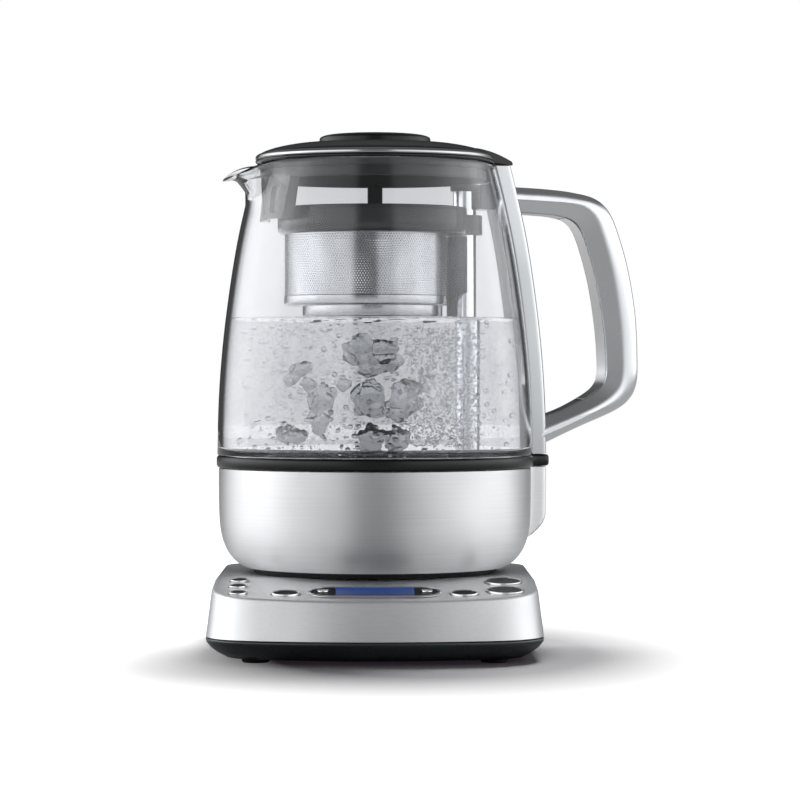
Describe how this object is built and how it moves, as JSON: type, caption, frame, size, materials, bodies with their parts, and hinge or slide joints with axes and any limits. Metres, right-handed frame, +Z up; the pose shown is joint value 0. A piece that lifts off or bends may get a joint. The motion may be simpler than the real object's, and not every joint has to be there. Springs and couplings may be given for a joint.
{
  "type": "automatic tea maker",
  "caption": "Glass jug with a motor-driven tea basket, steel skirt, handle and lid, standing on a power base with a sloped button panel and a display.",
  "frame": {"origin": "on the floor, under the middle of the overall box", "axes": "+Z up, -Y towards the user and the button panel, the handle points towards +X and 17 degrees back"},
  "size_m": [0.2186, 0.1992, 0.2601],
  "materials": {
    "shell_steel": "fine horizontal brushing",
    "skirt_steel": "fine circumferential brushing",
    "basket_steel": "satin, perforated wall",
    "filter_steel": "woven mesh",
    "trim_steel": "polished",
    "column_steel": "polished tube",
    "plate_steel": "plain",
    "screw_steel": "plain",
    "button_chrome": "polished",
    "button_black": "gloss",
    "silver_plastic": "satin metallic",
    "insert_grey": "soft grip",
    "basket_grey": "satin",
    "collar_grey": "satin",
    "tub_black": "satin",
    "band_black": "satin",
    "lid_black": "gloss",
    "display_black": "gloss",
    "display_blue": "lit blue, clear cover",
    "foot_rubber": "plain",
    "silicone": "translucent",
    "glass": "clear",
    "board_green": "coated",
    "magnet_grey": "plated",
    "nut_brass": "plain"
  },
  "bodies": {
    "base": {"base_shell": "shell_steel", "base_tub": "tub_black", "foot_1": "foot_rubber", "foot_2": "foot_rubber", "foot_3": "foot_rubber", "foot_4": "foot_rubber", "base_screw_1": "screw_steel", "base_screw_2": "screw_steel", "base_screw_3": "screw_steel", "base_screw_4": "screw_steel", "control_board": "board_green", "power_board": "board_green", "connector_tower": "tub_black", "cord_gland": "foot_rubber", "display_frame": "display_black", "display_window": "display_blue"},
    "jug": {"steel_skirt": "skirt_steel", "seam_band": "band_black", "glass_jug": "glass", "glass_seal": "silicone", "heating_plate": "plate_steel", "heating_element": "plate_steel", "temperature_probe": "plate_steel", "jug_bottom_cover": "tub_black", "power_socket": "tub_black", "lift_motor": "magnet_grey", "lift_column": "column_steel", "column_foot_seal": "foot_rubber", "column_head": "basket_grey", "handle_spine": "silver_plastic", "handle_screw_upper": "screw_steel", "handle_screw_lower": "screw_steel", "handle_grip": "silver_plastic", "grip_insert": "insert_grey"},
    "screw": {"lead_screw": "screw_steel"},
    "drive": {"drive_magnet": "magnet_grey", "drive_nut": "nut_brass"},
    "lid": {"lid_cap": "lid_black", "lid_trim": "trim_steel", "lid_knob": "lid_black", "lid_collar": "collar_grey", "spout_filter": "filter_steel", "lid_seal": "silicone"},
    "basket": {"basket_ring": "basket_grey", "basket_cup": "basket_steel", "basket_foot": "basket_grey", "slide_bracket": "basket_grey", "follower_magnet": "magnet_grey"},
    "cover": {"basket_cover": "basket_grey", "lifting_post": "lid_black"},
    "warm_key": {"warm_button": "button_chrome"},
    "clock_key": {"clock_button": "button_chrome"},
    "auto_start_key": {"auto_start_button": "button_chrome"},
    "water_key": {"water_button": "button_black"},
    "tea_key": {"tea_button": "button_black"},
    "down_key": {"down_button": "button_chrome"},
    "up_key": {"up_button": "button_chrome"},
    "start_key": {"start_button": "button_black"},
    "basket_key": {"basket_button": "button_black"}
  },
  "joints": [
    {"name": "jug_lift", "type": "slide", "parent": "base", "child": "jug", "axis": [0, 0, 1], "range_m": [0, 0.12]},
    {"name": "lid_lift", "type": "slide", "parent": "jug", "child": "lid", "axis": [0, 0, 1], "range_m": [0, 0.08]},
    {"name": "basket_travel", "type": "slide", "parent": "jug", "child": "basket", "axis": [0, 0, 1], "range_m": [-0.078, 0]},
    {"name": "cover_lift", "type": "slide", "parent": "basket", "child": "cover", "axis": [0, 0, 1], "range_m": [0, 0.04]},
    {"name": "drive_travel", "type": "slide", "parent": "jug", "child": "drive", "axis": [0, 0, 1], "range_m": [-0.078, 0]},
    {"name": "screw_spin", "type": "hinge", "parent": "jug", "child": "screw", "pos_m": [0.01876, 0.02654, 0.15], "axis": [0, 0, 1], "range_deg": [-3511, 1]},
    {"name": "warm_press", "type": "slide", "parent": "base", "child": "warm_key", "axis": [0, 0.1133, -0.9936], "range_m": [0, 0.0012], "stiffness_N_per_m": 400},
    {"name": "clock_press", "type": "slide", "parent": "base", "child": "clock_key", "axis": [0, 0.1133, -0.9936], "range_m": [0, 0.0012], "stiffness_N_per_m": 400},
    {"name": "auto_start_press", "type": "slide", "parent": "base", "child": "auto_start_key", "axis": [0, 0.1133, -0.9936], "range_m": [0, 0.0012], "stiffness_N_per_m": 400},
    {"name": "water_press", "type": "slide", "parent": "base", "child": "water_key", "axis": [0, 0.1133, -0.9936], "range_m": [0, 0.0012], "stiffness_N_per_m": 400},
    {"name": "tea_press", "type": "slide", "parent": "base", "child": "tea_key", "axis": [0, 0.1133, -0.9936], "range_m": [0, 0.0012], "stiffness_N_per_m": 400},
    {"name": "down_press", "type": "slide", "parent": "base", "child": "down_key", "axis": [0, 0.1133, -0.9936], "range_m": [0, 0.0012], "stiffness_N_per_m": 400},
    {"name": "up_press", "type": "slide", "parent": "base", "child": "up_key", "axis": [0, 0.1133, -0.9936], "range_m": [0, 0.0012], "stiffness_N_per_m": 400},
    {"name": "start_press", "type": "slide", "parent": "base", "child": "start_key", "axis": [0, 0.1133, -0.9936], "range_m": [0, 0.0012], "stiffness_N_per_m": 400},
    {"name": "basket_press", "type": "slide", "parent": "base", "child": "basket_key", "axis": [0, 0.1133, -0.9936], "range_m": [0, 0.0012], "stiffness_N_per_m": 400}
  ],
  "couplings": [
    {"joint": "cover_lift", "follows": "lid_lift", "ratio": 0.5},
    {"joint": "drive_travel", "follows": "basket_travel", "ratio": 1},
    {"joint": "screw_spin", "follows": "basket_travel", "rad_per_m": 785.4}
  ]
}
